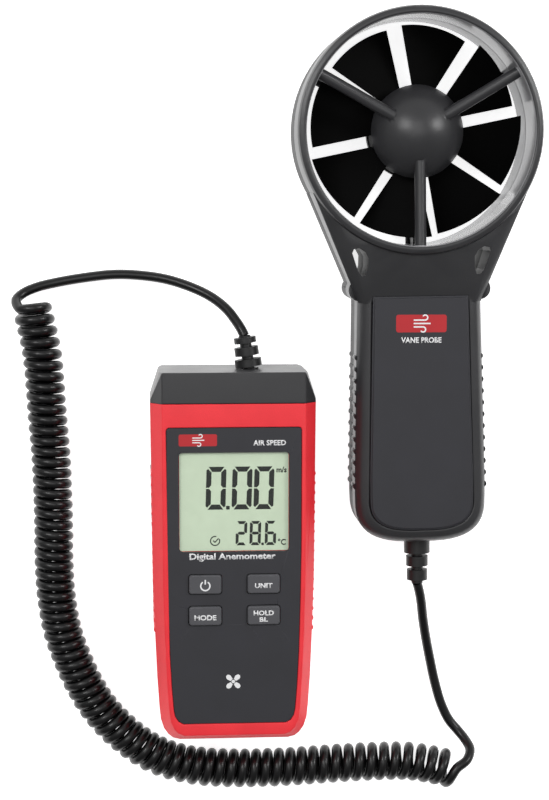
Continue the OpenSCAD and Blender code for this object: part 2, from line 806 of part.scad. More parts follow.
module handle_panel() {
    color([0.27, 0.27, 0.28]) on_probe() {
        panel_plate(0, handle_face - 0.8, handle_t - 0.4);
        panel_plate(-0.5, handle_t - 0.5, handle_t);
    }
}

module bearing(z0) {
    color(c_brass) on_probe() translate([0, 0, z0]) difference() {
        cylinder(h = 2, r = 2.5);
        translate([0, 0, -1]) cylinder(h = 4, r = shaft_d / 2 + shaft_gap);
    }
}

module pickup_board() {
    color(c_board) on_probe() difference() {
        translate([0, 0, 4.6]) cylinder(h = 0.8, r = hub_r - 1.5);
        translate([0, 0, 4]) cylinder(h = 4, r = 4.4);
        block(-1.4, 1.4, -hub_r, -hub_r + 4.2, 4, 7);
    }
    color(c_black) on_probe() block(-2, 2, 5.6, 8.4, 5.4, 6.3);
}

module thermistor() {
    color([0.2, 0.2, 0.22]) on_probe() translate([0, -duct_r + 0.9, sensor_z]) {
        sphere(1.05, $fn = 32);
        rotate([90, 0, 0]) cylinder(h = 3.6, r = 0.8, $fn = 32);
    }
}

module probe_board() {
    color(c_board) on_probe() difference() {
        block(-10.2, 10.2, -104, -60, probe_split - 0.8, probe_split + 0.8);
        for (y = [-63, -101]) both_sides() translate([8.2, y, 0]) cylinder(h = 30, r = 1);
    }
}

module probe_chips() {
    color(c_black) on_probe() {
        block(-4, 4, -84, -76, probe_split + 0.8, probe_split + 2.2);
        block(-8, -5, -94, -89, probe_split + 0.8, probe_split + 2);
        block(4, 9, -72, -68, probe_split + 0.8, probe_split + 2.6);
    }
}

// Wires from the pickup and the sensor to the board, and from it to the boot
module probe_wires() {
    z_low = rear_spoke_z + 1.2;
    color([0.8, 0.8, 0.8]) on_probe() {
        tube([[0, -hub_r + 4.2, z_low], [0, -duct_r - 4, z_low], [0, neck_y, 6.5],
            [0, -56, 10], [0, -60.5, probe_split - 1.3]], 0.5, 8);
        tube([[0, -duct_r - 2.7, sensor_z], [0, -duct_r - 3.3, sensor_z], [0, -duct_r - 4.6, sensor_z - 1.2],
            [0, neck_y - 2, 17], [0, -58, 15.4], [0, -61, probe_split + 1.3]], 0.5, 8);
        tube([[0, -handle_end + handle_wall + 1.6, handle_t / 2], [0, -112, handle_t / 2],
            [0, -103.5, probe_split - 1.4]], 0.6, 8);
    }
}

module probe_screws() {
    color(c_metal) on_probe() at_probe_screws() screw(probe_head_z, 16.4);
}

module probe_boot() {
    color(c_black) on_probe() at_probe_boot()
        strain_relief([[0.3, 4.3, 3.9], [5.6, 3, 3.3], [9.8, 3.2, 3.1]],
            cord_r + 0.25, boot_len, 2.9, handle_wall + 0.15);
}

// Flat pitched blades between parallel slots, all round a drum with a web
module vane_rotor() {
    tip_r = duct_r - tip_gap;
    half_step = blade_step / 2;
    color(c_black) on_probe() difference() {
        union() {
            for (k = [0:blade_count - 1])
                rotate([0, 0, blade_turn + half_step + k * blade_step]) blade(tip_r, half_step);
            translate([0, 0, rotor_z0]) difference() {
                cylinder(h = rotor_z1 - rotor_z0, r = hub_r - 0.4, $fn = 96);
                translate([0, 0, -1]) cylinder(h = rotor_z1 - rotor_z0 + 2, r = hub_r - 1.8, $fn = 96);
            }
            translate([0, 0, rotor_mid - 1.5]) cylinder(h = 2.4, r = hub_r - 1, $fn = 96);
            translate([0, 0, rotor_z0 + 1.6]) cylinder(h = rotor_z1 - rotor_z0 - 2, r = 3.2);
        }
        translate([0, 0, rotor_z0]) cylinder(h = 20, r = shaft_d / 2, $fn = 48);
        at_magnets() cylinder(h = 2.6, r = 2.05, $fn = 48);
    }
}

// One blade: a tilted sheet trimmed to the space between two slots
module blade(tip_r, half_step) {
    x0 = hub_r - 1.2;
    s = blade_slot / 2 / cos(half_step);
    k = tan(half_step);
    intersection() {
        translate([0, 0, rotor_mid]) rotate([blade_pitch, 0, 0])
            translate([x0, -tip_r, -blade_t / 2]) cube([tip_r, 2 * tip_r, blade_t]);
        translate([0, 0, rotor_z0]) linear_extrude(rotor_z1 - rotor_z0) intersection() {
            polygon([[x0, -x0 * k + s], [2 * tip_r, -2 * tip_r * k + s],
                [2 * tip_r, 2 * tip_r * k - s], [x0, x0 * k - s]]);
            circle(tip_r, $fn = 128);
        }
    }
}

module at_magnets() {
    for (a = [0:90:270]) rotate([0, 0, a]) translate([8.2, 0, rotor_mid - 1.6]) children();
}

module rotor_magnets() {
    color(c_metal) on_probe() at_magnets() translate([0, 0, -0.6]) cylinder(h = 3, r = 2, $fn = 48);
}

module rotor_shaft() {
    color(c_metal) on_probe() translate([0, 0, 2.2]) cylinder(h = 22.4, r = shaft_d / 2, $fn = 48);
}

// ---- Nodes ----

meter_front_shell();
meter_rear_shell();
meter_top_cap();
front_panel();
display_window();
lcd_glass();
lcd_frame();
lcd_backlight();
zebra_strip();
main_board();
board_chips();
key_switches();
buzzer();
battery_cells();
battery_springs();
battery_plates();
battery_cover();
case_screws();
board_screws();
meter_boot();
meter_wires();
button(-1, 1);  // button_power
button(1, 1);  // button_unit
button(-1, -1);  // button_mode
button(1, -1);  // button_hold
plunger(-1, 1);  // plunger_power
plunger(1, 1);  // plunger_unit
plunger(-1, -1);  // plunger_mode
plunger(1, -1);  // plunger_hold
cord_lead_meter();
cord_coil();
cord_lead_probe();
probe_front_shell();
probe_rear_shell();
handle_panel();
bearing(dome_z + 2);  // front_bearing
bearing(2.4);  // rear_bearing
pickup_board();
thermistor();
probe_board();
probe_chips();
probe_wires();
probe_screws();
probe_boot();
vane_rotor();
rotor_shaft();
rotor_magnets();
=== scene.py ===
# Vane anemometer: a meter and a vane probe joined by a curly cord, lying on a pale floor.
# Lengths in the dictionaries are millimetres; mm turns them into metres.
import math

import bmesh
import bpy
from mathutils import Matrix, Vector


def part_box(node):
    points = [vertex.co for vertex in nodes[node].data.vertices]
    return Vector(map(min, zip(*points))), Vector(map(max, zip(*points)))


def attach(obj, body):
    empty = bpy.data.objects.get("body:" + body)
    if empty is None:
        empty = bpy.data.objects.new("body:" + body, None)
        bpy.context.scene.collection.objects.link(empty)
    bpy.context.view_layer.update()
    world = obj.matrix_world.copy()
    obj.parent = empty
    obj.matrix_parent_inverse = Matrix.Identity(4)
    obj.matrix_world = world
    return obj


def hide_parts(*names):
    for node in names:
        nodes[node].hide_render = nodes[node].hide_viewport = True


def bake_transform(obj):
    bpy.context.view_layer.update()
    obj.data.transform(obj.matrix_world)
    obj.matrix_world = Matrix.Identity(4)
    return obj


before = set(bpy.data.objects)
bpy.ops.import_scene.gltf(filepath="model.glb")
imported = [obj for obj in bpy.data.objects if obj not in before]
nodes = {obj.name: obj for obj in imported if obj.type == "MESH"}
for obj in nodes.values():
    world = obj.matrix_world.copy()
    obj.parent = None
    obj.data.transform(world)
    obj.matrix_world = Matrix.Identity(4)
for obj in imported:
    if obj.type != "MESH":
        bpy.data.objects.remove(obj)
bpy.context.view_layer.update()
mm = 0.001
weld = 0.002  # mm; points nearer than this are one
flatAngle = 1.2  # degrees; faces that meet flatter than this are one
scene = bpy.context.scene
print("frame loaded,", len(nodes), "nodes")


# short helpers

def vec(*p):
    return Vector([v * mm for v in p])


def linearColour(hexText):
    out = []
    for i in (1, 3, 5):
        c = int(hexText[i:i + 2], 16) / 255
        out.append(c / 12.92 if c <= 0.04045 else ((c + 0.055) / 1.055) ** 2.4)
    return (out[0], out[1], out[2], 1.0)


def addNode(tree, kind, links=None, values=None, **settings):
    node = tree.nodes.new(kind)
    for name, value in settings.items():
        setattr(node, name, value)
    for key, value in (values or {}).items():
        node.inputs[key].default_value = value
    for key, source in (links or {}).items():
        tree.links.new(source, node.inputs[key])
    return node


def addMesh(name, verts, faces):
    mesh = bpy.data.meshes.new(name)
    mesh.from_pydata([tuple(v) for v in verts], [], faces)
    mesh.update()
    piece = bpy.data.objects.new(name, mesh)
    scene.collection.objects.link(piece)
    return piece


def smooth(piece, degrees=30):
    mesh = piece.data
    mesh.polygons.foreach_set("use_smooth", [True] * len(mesh.polygons))
    mesh.set_sharp_from_angle(angle=math.radians(degrees))


def paint(piece, material):
    if len(piece.data.materials) == 0:
        piece.data.materials.append(material)
    for slot in piece.material_slots:
        slot.material = material


def fit(piece, body, slotName, material, *replaced):
    paint(piece, material)
    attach(piece, body)
    if replaced:
        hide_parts(*replaced)
    return piece


# camera: above the meter's upper end, looking a little down and to the right
view = {"eye": (-60.9, 52.25, 587), "aim": (-20.5, -7.15, 17), "lens": 86.87}


def addCamera():
    eye, aim = vec(*view["eye"]), vec(*view["aim"])
    back = (eye - aim).normalized()
    right = Vector((0, 1, 0)).cross(back).normalized()
    up = back.cross(right)
    cam = bpy.data.cameras.new("camera")
    cam.lens = view["lens"]
    cam.sensor_fit = "VERTICAL"
    cam.sensor_height = 36
    cam.clip_start = 0.01
    cam.clip_end = 20
    obj = bpy.data.objects.new("camera", cam)
    obj.matrix_world = Matrix.Translation(eye) @ Matrix((right, up, back)).transposed().to_4x4()
    scene.collection.objects.link(obj)
    scene.camera = obj


addCamera()

# studio: white surroundings and two soft boxes, one each side
studio = {
    "world": (0.14, 0.74),
    "floorGlow": 0.8,
    "boxes": [
        {"at": (-440, 330, 760), "size": (260, 340), "power": 2.3},
        {"at": (700, 330, 640), "size": (260, 340), "power": 3.0},
        {"at": (-60, 260, 1500), "size": (900, 900), "power": 3.4},
    ],
    "floor": 6.0,  # metres, a side
    "floorCells": 4,
    "lookAt": (0, 20, 10),
}


def addStudio():
    world = bpy.data.worlds.new("studio")
    scene.world = world
    world.use_nodes = True
    sky = world.node_tree
    back = sky.nodes["Background"]
    back.inputs["Color"].default_value = (1, 1, 1, 1)
    # the surroundings are brighter beyond the meter's top end than at its foot
    around = addNode(sky, "ShaderNodeTexCoord")
    parts = addNode(sky, "ShaderNodeSeparateXYZ", {"Vector": around.outputs["Generated"]})
    level = addNode(sky, "ShaderNodeMapRange", {"Value": parts.outputs["Y"]},
                    {"From Min": -1.0, "From Max": 1.0, "To Min": studio["world"][0],
                     "To Max": studio["world"][1]})
    sky.links.new(level.outputs["Result"], back.inputs["Strength"])
    for i, box in enumerate(studio["boxes"]):
        light = bpy.data.lights.new("softBox%d" % i, "AREA")
        light.shape = "RECTANGLE"
        light.size, light.size_y = box["size"][0] * mm, box["size"][1] * mm
        light.energy = box["power"]
        obj = bpy.data.objects.new("softBox%d" % i, light)
        obj.location = vec(*box["at"])
        obj.rotation_euler = (vec(*studio["lookAt"]) - obj.location).to_track_quat("-Z", "Y").to_euler()
        scene.collection.objects.link(obj)
    scene.view_settings.view_transform = "Standard"
    scene.view_settings.look = "None"
    paper = bpy.data.materials.new("seamlessPaper")  # matt white background paper, faint mottle
    paper.use_nodes = True
    tree = paper.node_tree
    shader = tree.nodes["Principled BSDF"]
    coords = addNode(tree, "ShaderNodeTexCoord")
    mottle = addNode(tree, "ShaderNodeTexNoise", {"Vector": coords.outputs["Object"]}, {"Scale": 60.0})
    tone = addNode(tree, "ShaderNodeMix", {"Factor": mottle.outputs["Fac"]}, data_type="RGBA")
    tone.inputs["A"].default_value = linearColour("#fbfbfb")
    tone.inputs["B"].default_value = linearColour("#ffffff")
    tree.links.new(tone.outputs["Result"], shader.inputs["Base Color"])
    shader.inputs["Roughness"].default_value = 0.9
    shader.inputs["Emission Color"].default_value = (1, 1, 1, 1)  # lit from below, as on a light table
    shader.inputs["Emission Strength"].default_value = studio["floorGlow"]
    half = studio["floor"] / 2
    n = studio["floorCells"]
    steps = [half * (2 * i / n - 1) for i in range(n + 1)]
    grid = [(x, y, 0) for y in steps for x in steps]
    row = n + 1
    quads = [(j * row + i, j * row + i + 1, (j + 1) * row + i + 1, (j + 1) * row + i)
             for j in range(n) for i in range(n)]
    floor = addMesh("floor", grid, quads)
    floor.data.materials.append(paper)


addStudio()
print("camera, lights and floor")


# materials

# hexShade is the colour in the grain's hollows; grain and relief are in mm
def moulded(name, hexColour, hexShade, roughness, grain, relief, specular=0.5, coat=0.0, spread=0.05):
    mat = bpy.data.materials.new(name)
    mat.use_nodes = True
    tree = mat.node_tree
    shader = tree.nodes["Principled BSDF"]
    coords = addNode(tree, "ShaderNodeTexCoord")
    fine = addNode(tree, "ShaderNodeTexNoise", {"Vector": coords.outputs["Object"]},
                   {"Scale": 1 / (grain * mm), "Detail": 3.0, "Roughness": 0.6})
    broad = addNode(tree, "ShaderNodeTexNoise", {"Vector": coords.outputs["Object"]},
                    {"Scale": 1 / (9 * mm), "Detail": 2.0})
    both = addNode(tree, "ShaderNodeMath", {0: fine.outputs["Fac"], 1: broad.outputs["Fac"]},
                   operation="MULTIPLY")
    tone = addNode(tree, "ShaderNodeValToRGB", {"Fac": both.outputs["Value"]})
    tone.color_ramp.elements[0].position = 0.12
    tone.color_ramp.elements[0].color = linearColour(hexShade)
    tone.color_ramp.elements[1].position = 0.4
    tone.color_ramp.elements[1].color = linearColour(hexColour)
    tree.links.new(tone.outputs["Color"], shader.inputs["Base Color"])
    rough = addNode(tree, "ShaderNodeMapRange", {"Value": broad.outputs["Fac"]},
                    {"To Min": roughness - spread, "To Max": roughness + spread})
    tree.links.new(rough.outputs["Result"], shader.inputs["Roughness"])
    bump = addNode(tree, "ShaderNodeBump", {"Height": fine.outputs["Fac"]},
                   {"Strength": 0.5, "Distance": relief * mm})
    tree.links.new(bump.outputs["Normal"], shader.inputs["Normal"])
    shader.inputs["IOR"].default_value = 1.5
    shader.inputs["Specular IOR Level"].default_value = specular
    shader.inputs["Coat Weight"].default_value = coat
    return mat


# the duct's wall: nearly smooth, and painted paler as a painted reflection of the white surroundings
# seen at a grazing angle; found by its distance from the vane's axis
bore = {"from": 2.05, "to": 2.45, "colour": "#9a9a9c", "roughness": 0.16}  # mm past the blade tips


# makes the bore smoother and paints it pale; the pale colour is a painted reflection, not the plastic's
# own colour
def polishedBoreWithPaintedSheen(mat):
    tree = mat.node_tree
    shader = tree.nodes["Principled BSDF"]
    lo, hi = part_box("vane_rotor")
    coords = addNode(tree, "ShaderNodeTexCoord")
    flat = addNode(tree, "ShaderNodeVectorMath", {0: coords.outputs["Object"]}, operation="MULTIPLY")
    flat.inputs[1].default_value = (1, 1, 0)
    away = addNode(tree, "ShaderNodeVectorMath", {0: flat.outputs["Vector"]}, operation="DISTANCE")
    away.inputs[1].default_value = ((lo[0] + hi[0]) / 2, (lo[1] + hi[1]) / 2, 0)
    reach = (hi[0] - lo[0]) / 2
    inner = addNode(tree, "ShaderNodeMath", {0: away.outputs["Value"]}, {1: reach + bore["to"] * mm},
                    operation="LESS_THAN")
    outer = addNode(tree, "ShaderNodeMath", {0: away.outputs["Value"]}, {1: reach + bore["from"] * mm},
                    operation="GREATER_THAN")
    paintedSheenBand = addNode(tree, "ShaderNodeMath", {0: inner.outputs["Value"], 1: outer.outputs["Value"]},
                   operation="MULTIPLY")
    # the pale bore colour mixed in here is a painted reflection; the lower roughness is real
    for socket, kind, value in (("Base Color", "RGBA", linearColour(bore["colour"])),
                                ("Roughness", "FLOAT", bore["roughness"])):
        source = shader.inputs[socket].links[0].from_socket
        blend = addNode(tree, "ShaderNodeMix", {"Factor": paintedSheenBand.outputs["Value"]}, data_type=kind)
        tree.links.new(source, blend.inputs["A"])
        blend.inputs["B"].default_value = value
        tree.links.new(blend.outputs["Result"], shader.inputs[socket])
    return mat


# plated or turned metal with fine turning marks; grain in mm
def metal(name, hexColour, roughness, grain):
    mat = bpy.data.materials.new(name)
    mat.use_nodes = True
    tree = mat.node_tree
    shader = tree.nodes["Principled BSDF"]
    coords = addNode(tree, "ShaderNodeTexCoord")
    marks = addNode(tree, "ShaderNodeTexNoise", {"Vector": coords.outputs["Object"]},
                    {"Scale": 1 / (grain * mm), "Detail": 4.0})
    rough = addNode(tree, "ShaderNodeMapRange", {"Value": marks.outputs["Fac"]},
                    {"To Min": roughness - 0.08, "To Max": roughness + 0.08})
    tree.links.new(rough.outputs["Result"], shader.inputs["Roughness"])
    bump = addNode(tree, "ShaderNodeBump", {"Height": marks.outputs["Fac"]},
                   {"Strength": 0.3, "Distance": 0.01 * mm})
    tree.links.new(bump.outputs["Normal"], shader.inputs["Normal"])
    shader.inputs["Base Color"].default_value = linearColour(hexColour)
    shader.inputs["Metallic"].default_value = 1.0
    return mat


# ABS moulded in red with a spark-eroded grain: satin, a little lighter where the grain is worn
redAbs = moulded("redAbs", "#f4303a", "#e92833", 0.45, 0.35, 0.03)
# charcoal ABS of the cap and the probe: fine even grain, broad soft highlights
charcoalAbs = moulded("charcoalAbs", "#303032", "#2c2c2e", 0.36, 0.3, 0.025, 0.5)
# the same in the probe, with its bore run smooth by the core pin and painted pale as a painted
# reflection of the white surroundings
ringAbs = polishedBoreWithPaintedSheen(moulded("ringAbs", "#313133", "#2c2c2e", 0.34, 0.3, 0.025, 0.5))
# near-black ABS of the rear halves
blackAbs = moulded("blackAbs", "#1c1c1e", "#18181a", 0.42, 0.3, 0.03)
# the rear halves' ABS with the same bore: run smooth, and painted pale as a painted reflection
ringBackAbs = polishedBoreWithPaintedSheen(moulded("ringBackAbs", "#1a1a1c", "#161618", 0.46, 0.3, 0.03, 0.18))
# screen-printed polycarbonate panel: matt ink, no grain to speak of
printedPanel = moulded("printedPanel", "#323237", "#2f2f33", 0.52, 0.15, 0.006, 0.35)
# grey silicone keys: matt and soft
keySilicone = moulded("keySilicone", "#4e4e52", "#49494d", 0.6, 0.2, 0.012)
# black thermoplastic rubber of the strain reliefs
bootRubber = moulded("bootRubber", "#141415", "#101011", 0.45, 0.25, 0.02)
# polyurethane sheath of the curly cord: smooth, satin, picks up both soft boxes
cordPolyurethane = moulded("cordPolyurethane", "#0c0c0d", "#09090a", 0.3, 1.2, 0.02, 0.38)
# thin black polystyrene blades with a dull face that returns almost no light
bladeBlack = moulded("bladeBlack", "#040404", "#030303", 0.6, 0.5, 0.01, 0.05)
# liquid crystal cell: pale green-grey under its polariser
lcdGreen = moulded("lcdGreen", "#dbecd0", "#d5e6ca", 0.35, 2.5, 0.0)
# dark liquid crystal segments and panel ink
lcdBlack = moulded("lcdBlack", "#0b0f0c", "#080b09", 0.5, 0.5, 0.0, 0.3)
whiteInk = moulded("whiteInk", "#f2f2f2", "#e8e8ea", 0.55, 0.15, 0.004)
redInk = moulded("redInk", "#bd1c25", "#b31821", 0.5, 0.15, 0.004)
# white moulded frame and the light guide
whitePolycarbonate = moulded("whitePolycarbonate", "#ececea", "#e4e4e0", 0.3, 0.6, 0.01)
# green solder mask over woven glass
solderMask = moulded("solderMask", "#0f5b2e", "#0c4f27", 0.25, 0.6, 0.01)
chipEpoxy = moulded("chipEpoxy", "#1a1a1b", "#151516", 0.55, 0.12, 0.01)
zebraElastomer = moulded("zebraElastomer", "#c98f94", "#6d4a4f", 0.6, 0.4, 0.01)
cellWrap = moulded("cellWrap", "#24558c", "#1f4c80", 0.25, 6.0, 0.0)
wireSleeve = moulded("wireSleeve", "#c4c4c4", "#b5b5b5", 0.35, 1.5, 0.005)
platedSteel = metal("platedSteel", "#b9b9bb", 0.32, 0.4)
sinteredBronze = metal("sinteredBronze", "#b98a4a", 0.5, 0.15)
nickelPlate = metal("nickelPlate", "#c9c6c0", 0.18, 0.6)


def clearAcrylic():
    mat = bpy.data.materials.new("clearAcrylic")  # polished window over the display
    mat.use_nodes = True
    tree = mat.node_tree
    shader = tree.nodes["Principled BSDF"]
    coords = addNode(tree, "ShaderNodeTexCoord")
    wave = addNode(tree, "ShaderNodeTexNoise", {"Vector": coords.outputs["Object"]},
                   {"Scale": 1 / (14 * mm)})
    rough = addNode(tree, "ShaderNodeMapRange", {"Value": wave.outputs["Fac"]},
                    {"To Min": 0.04, "To Max": 0.09})
    tree.links.new(rough.outputs["Result"], shader.inputs["Roughness"])
    shader.inputs["Base Color"].default_value = linearColour("#8a938c")
    shader.inputs["IOR"].default_value = 1.49
    shader.inputs["Alpha"].default_value = 0.05
    return mat


windowAcrylic = clearAcrylic()
print("materials")


# cord: one 3 mm strand from boot to boot, curled to a tight coil along its route
cord = {
    "diameter": 3.0,
    "coilDiameter": 12.0,
    "meterExit": (-29.3, 11.9, 14),
    "probeExit": (23.4, -63.9, 12),
    "coilRoute": [
        (-92.6, 20.4), (-91, 13.6), (-89.6, 6), (-88.8, -4), (-88.2, -14),
        (-87.4, -24), (-87, -34), (-86.8, -46), (-86.8, -58), (-86.2, -68),
        (-84.6, -78), (-82, -86), (-78.6, -94), (-73.6, -102.6), (-66.4, -110.6),
        (-57, -117.4), (-46.6, -121), (-34, -122.4), (-16, -122.4), (0, -121.6),
        (14, -121.2), (22, -121.4), (29, -122.6), (35.4, -124.2)],
    "meterLead": [
        (-30.1, 13.6, 13.5), (-31.6, 16, 12), (-34.2, 19.4, 9.8), (-38.4, 22.8, 7),
        (-44, 25.6, 4.6), (-52, 28.2, 2.6), (-60, 29.4, 1.5), (-68, 29.7, 1.5),
        (-78, 28.6, 1.5), (-86, 27.2, 1.7), (-91, 26, 2.4), (-95.2, 24.2, 3.6),
        (-97.2, 22.2, 5.6)],
    "probeLead": [
        (36.6, -122.8, 10.2), (39.8, -120.6, 9.2), (41.2, -117.9, 6.6), (40, -115.4, 3.8),
        (38, -113, 2), (35.2, -109.6, 1.5), (32.6, -104, 1.5), (30.6, -97, 1.5),
        (29, -90, 2.4), (27.4, -83, 4.4), (26, -76, 7), (25, -70, 9.6), (24.2, -66.6, 11)],
    "pitch": (3.532, 3.184, 3.134, 3.134, 3.483, 3.632, 3.731),
    "stepsPerTurn": 26,
    "axisStep": 0.1,
    "leadStep": 1.2,
    "tailStep": 0.9,
    "sides": 12,
    "startAngle": 315.0,
    "blendFrom": (-28.7, 8.6, 0),
    "blendTo": (38.3, -11.5, 0),
}


# a smooth line through the points, sampled about every step
def throughPoints(points, step):
    ends = [points[0] * 2 - points[1]] + list(points) + [points[-1] * 2 - points[-2]]
    out = []
    for i in range(1, len(ends) - 2):
        p0, p1, p2, p3 = ends[i - 1:i + 3]
        count = max(2, round((p2 - p1).length / step))
        knots = [0.0]
        for a, b in ((p0, p1), (p1, p2), (p2, p3)):
            knots.append(knots[-1] + max((b - a).length, 1e-9) ** 0.5)
        for k in range(count):
            t = knots[1] + (knots[2] - knots[1]) * k / count
            a1 = p0.lerp(p1, (t - knots[0]) / (knots[1] - knots[0]))
            a2 = p1.lerp(p2, (t - knots[1]) / (knots[2] - knots[1]))
            a3 = p2.lerp(p3, (t - knots[2]) / (knots[3] - knots[2]))
            b1 = a1.lerp(a2, (t - knots[0]) / (knots[2] - knots[0]))
            b2 = a2.lerp(a3, (t - knots[1]) / (knots[3] - knots[1]))
            out.append(b1.lerp(b2, (t - knots[1]) / (knots[2] - knots[1])))
    out.append(points[-1].copy())
    return out


# left-handed turns along the route; the pitch follows the given values from end to end
def curls(route, startAngle):
    radius = (cord["coilDiameter"] - cord["diameter"]) / 2
    axis = throughPoints([Vector((x, y, cord["coilDiameter"] / 2)) for x, y in route], cord["axisStep"])
    total = sum((b - a).length for a, b in zip(axis, axis[1:]))
    pitches = cord["pitch"]
    out, angle, gone, sinceLast = [], math.radians(startAngle), 0.0, 0.0
    for a, b in zip(axis, axis[1:]):
        along = (b - a).normalized()
        side = along.cross(Vector((0, 0, 1)))
        if sinceLast == 0.0 or sinceLast >= 2 * math.pi / cord["stepsPerTurn"]:
            out.append(a + radius * (math.cos(angle) * Vector((0, 0, 1)) - math.sin(angle) * side))
            sinceLast = 0.0
        place = gone / total * (len(pitches) - 1)
        i = min(int(place), len(pitches) - 2)
        pitch = pitches[i] + (pitches[i + 1] - pitches[i]) * (place - i)
        stepAngle = 2 * math.pi * (b - a).length / pitch
        angle += stepAngle
        sinceLast += stepAngle
        gone += (b - a).length
    return out, math.degrees(angle)


# a tube of even rings that turn as little as they can along the line
def tube(name, line, radius, sides):
    verts, faces = [], []
    up = Vector((0, 0, 1))
    for i, p in enumerate(line):
        ahead = line[min(i + 1, len(line) - 1)] - line[max(i - 1, 0)]
        ahead.normalize()
        up = (up - ahead * up.dot(ahead)).normalized()
        across = ahead.cross(up)
        for k in range(sides):
            a = 2 * math.pi * k / sides
            verts.append(p + radius * (math.cos(a) * up + math.sin(a) * across))
    for i in range(len(line) - 1):
        for k in range(sides):
            n = (k + 1) % sides
            faces.append((i * sides + k, i * sides + n, (i + 1) * sides + n, (i + 1) * sides + k))
    last = (len(line) - 1) * sides
    faces.append(tuple(range(sides - 1, -1, -1)))
    faces.append(tuple(last + k for k in range(sides)))
    return addMesh(name, verts, faces)


def addCord():
    turns, endAngle = curls(cord["coilRoute"], cord["startAngle"])
    print("coil ends at", round(endAngle % 360), "degrees after", round(endAngle / 360, 1), "turns")
    lead = [Vector(cord["meterExit"])] + [Vector(p) for p in cord["meterLead"]] + turns[:2]
    tail = turns[-2:] + [Vector(p) for p in cord["probeLead"]] + [Vector(cord["probeExit"])]
    leadLine = throughPoints(lead, cord["leadStep"])
    tailLine = throughPoints(tail, cord["tailStep"])
    joinIn = min(range(len(leadLine)), key=lambda i: (leadLine[i] - turns[0]).length)
    joinOut = min(range(len(tailLine)), key=lambda i: (tailLine[i] - turns[-1]).length)
    line = leadLine[:joinIn] + turns + tailLine[joinOut + 1:]
    for p in line:
        p.z = max(p.z, cord["diameter"] / 2)  # it rests on the floor
    line = [p * mm for p in line]
    piece = tube("curly_cord", line, cord["diameter"] / 2 * mm, cord["sides"])
    smooth(piece, 60)
    paint(piece, cordPolyurethane)
    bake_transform(piece)
    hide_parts("cord_lead_meter", "cord_coil", "cord_lead_probe")


addCord()


# edges softened on a joined-up copy of a node
# width, above and below are in mm; only edges between those two heights are rounded
def softened(nodeName, pieceName, width, segments=2, angle=24, above=-1.0, below=100.0):
    mesh = nodes[nodeName].data.copy()
    mesh.name = pieceName
    bm = bmesh.new()
    bm.from_mesh(mesh)
    bmesh.ops.remove_doubles(bm, verts=bm.verts, dist=weld * mm)
    bmesh.ops.dissolve_limit(bm, angle_limit=math.radians(flatAngle), verts=bm.verts, edges=bm.edges)
    picked = []
    for edge in bm.edges:
        height = (edge.verts[0].co.z + edge.verts[1].co.z) / 2 / mm
        if edge.is_manifold and edge.is_convex and above < height < below:
            if edge.calc_face_angle(0) > math.radians(angle) and edge.calc_length() > 1.2 * width * mm:
                picked.append(edge)
    if width > 0:
        bmesh.ops.bevel(bm, geom=picked, offset=width * mm, offset_type="OFFSET", segments=segments,
                        profile=0.5, affect="EDGES", clamp_overlap=False)
    bmesh.ops.triangulate(bm, faces=[f for f in bm.faces if len(f.verts) > 4])
    bm.to_mesh(mesh)
    bm.free()
    piece = bpy.data.objects.new(pieceName, mesh)
    scene.collection.objects.link(piece)
    smooth(piece, 32)
    weighted = piece.modifiers.new("weighted", "WEIGHTED_NORMAL")
    weighted.keep_sharp = True
    return piece


shells = [
    # node, piece, body, slot, material, width, above, below
    ("meter_front_shell", "red_housing", "meter", "red_plastic", redAbs, 0.35, 22.0, 40.0),
    ("meter_top_cap", "cord_end_cap", "meter", "dark_plastic", charcoalAbs, 0.35, -1.0, 40.0),
    ("meter_rear_shell", "rear_housing", "meter", "black_plastic", blackAbs, 0.3, -1.0, 5.0),
    ("front_panel", "printed_panel", "meter", "panel_plastic", printedPanel, 0.12, 27.0, 40.0),
    ("battery_cover", "battery_door", "battery_cover", "black_plastic", blackAbs, 0.2, -1.0, 40.0),
    ("handle_panel", "handle_inlay", "probe", "panel_plastic", printedPanel, 0.15, 23.2, 40.0),
    ("probe_front_shell", "probe_housing", "probe", "dark_plastic", ringAbs, 0.0, 0.0, 40.0),
    ("probe_rear_shell", "probe_back", "probe", "black_plastic", ringBackAbs, 0.0, 0.0, 40.0),
]


# printed marks, window and display; places are measured from the window's centre
inkThickness = 0.02
inkLift = 0.004  # clear of the face it is printed on
display = {
    "film": (26.52, 26.6), "segments": (26.61, 26.64), "window": (26.72, 27.8),
    "filmInset": 0.1, "filmCorner": 0.8, "windowCorner": 1.0, "windowEdge": 0.15,
    "bigDigits": [("0", -8.4), ("0", -0.75), ("0", 5.7)], "bigSize": (5.85, 12.7, 1.5), "bigY": -2.3,
    "bigDot": (-1.85, 1.1),
    "smallDigits": [("2", 0.4), ("8", 4.5), ("6", 9.0)], "smallSize": (3.3, 7.2, 0.86), "smallY": -13.0,
    "smallDot": (8.35, 0.75),
    "clock": (-5.6, -11.6, 1.35), "clockLine": 0.32, "handLine": 0.3,
    "hands": [(-0.55, 0.1), (-0.05, -0.45), (1.0, 0.75)],
    "speedUnit": (14.0, 9.4, 1.7, 3.0), "heatUnit": (14.1, -12.1, 1.9, 2.3),
}
segmentBars = {"0": "abcdef", "2": "abged", "6": "acdefg", "8": "abcdefg"}


def anticlockwise(outline):
    area = sum(a[0] * b[1] - b[0] * a[1] for a, b in zip(outline, outline[1:] + outline[:1]))
    return outline if area > 0 else outline[::-1]


# thin flat prisms from outlines in mm, given anticlockwise
def prisms(name, outlines, z0, z1):
    verts, faces = [], []
    for outline in outlines:
        n, first = len(outline), len(verts)
        verts += [vec(x, y, z0) for x, y in outline] + [vec(x, y, z1) for x, y in outline]
        faces.append(tuple(first + i for i in reversed(range(n))))
        faces.append(tuple(first + n + i for i in range(n)))
        for i in range(n):
            j = (i + 1) % n
            faces.append((first + i, first + j, first + n + j, first + n + i))
    return addMesh(name, verts, faces)


